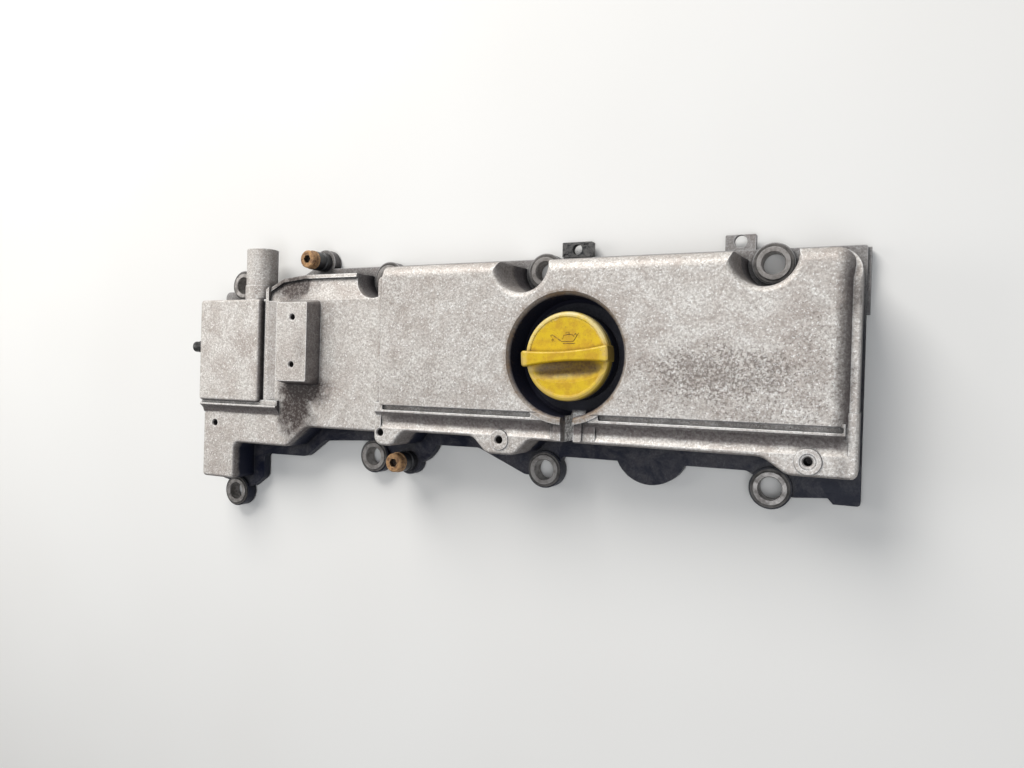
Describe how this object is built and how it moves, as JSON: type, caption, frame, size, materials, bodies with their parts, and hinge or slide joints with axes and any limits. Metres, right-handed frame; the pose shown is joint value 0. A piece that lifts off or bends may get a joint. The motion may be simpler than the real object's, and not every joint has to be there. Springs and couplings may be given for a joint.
{
  "type": "engine valve cover",
  "caption": "Cast aluminium engine valve cover with sunken oil filler cap, drain channel, breather spigot, bolt lugs with bushings and a rubber gasket.",
  "frame": {"origin": "under the middle of the cover, on the surface that its gasket lies on", "axes": "+Z out of the cover through the filler cap, +X along the cover from the breather end to the plain end, +Y towards the breather spigot side"},
  "size_m": [0.5214, 0.2162, 0.0534],
  "materials": {
    "cast_aluminium": "sand cast, stained",
    "cap_plastic": "moulded, dusty",
    "seal_rubber": "moulded",
    "gasket_rubber": "moulded",
    "grommet_rubber": "moulded, dusty",
    "bushing_steel": "turned, dull",
    "rusty_steel": "rusted",
    "sleeve_rubber": "oily",
    "spring_steel": "blackened",
    "plug_steel": "dark",
    "baffle_steel": "plain sheet"
  },
  "bodies": {
    "cover": {"baffle_plate": "baffle_steel", "baffle_screws": "baffle_steel", "bolt_sleeve_lower": "sleeve_rubber", "bolt_sleeve_upper": "sleeve_rubber", "bushing_1": "bushing_steel", "bushing_2": "bushing_steel", "bushing_3": "bushing_steel", "bushing_4": "bushing_steel", "bushing_5": "bushing_steel", "bushing_6": "bushing_steel", "bushing_7": "bushing_steel", "bushing_8": "bushing_steel", "captive_bolt_lower": "rusty_steel", "captive_bolt_upper": "rusty_steel", "clip_nut": "spring_steel", "cover_casting": "cast_aluminium", "cover_gasket": "gasket_rubber", "grommet_1": "grommet_rubber", "grommet_2": "grommet_rubber", "grommet_3": "grommet_rubber", "grommet_4": "grommet_rubber", "grommet_5": "grommet_rubber", "grommet_6": "grommet_rubber", "grommet_7": "grommet_rubber", "grommet_8": "grommet_rubber", "vent_plug": "plug_steel"},
    "cap": {"filler_cap": "cap_plastic", "filler_cap_seal": "seal_rubber"}
  },
  "joints": [
    {"name": "cap_twist", "type": "hinge", "parent": "cover", "child": "cap", "pos_m": [0.08585, 0.02325, 0.045], "axis": [0, 0, 1], "range_deg": [0, 90]}
  ]
}
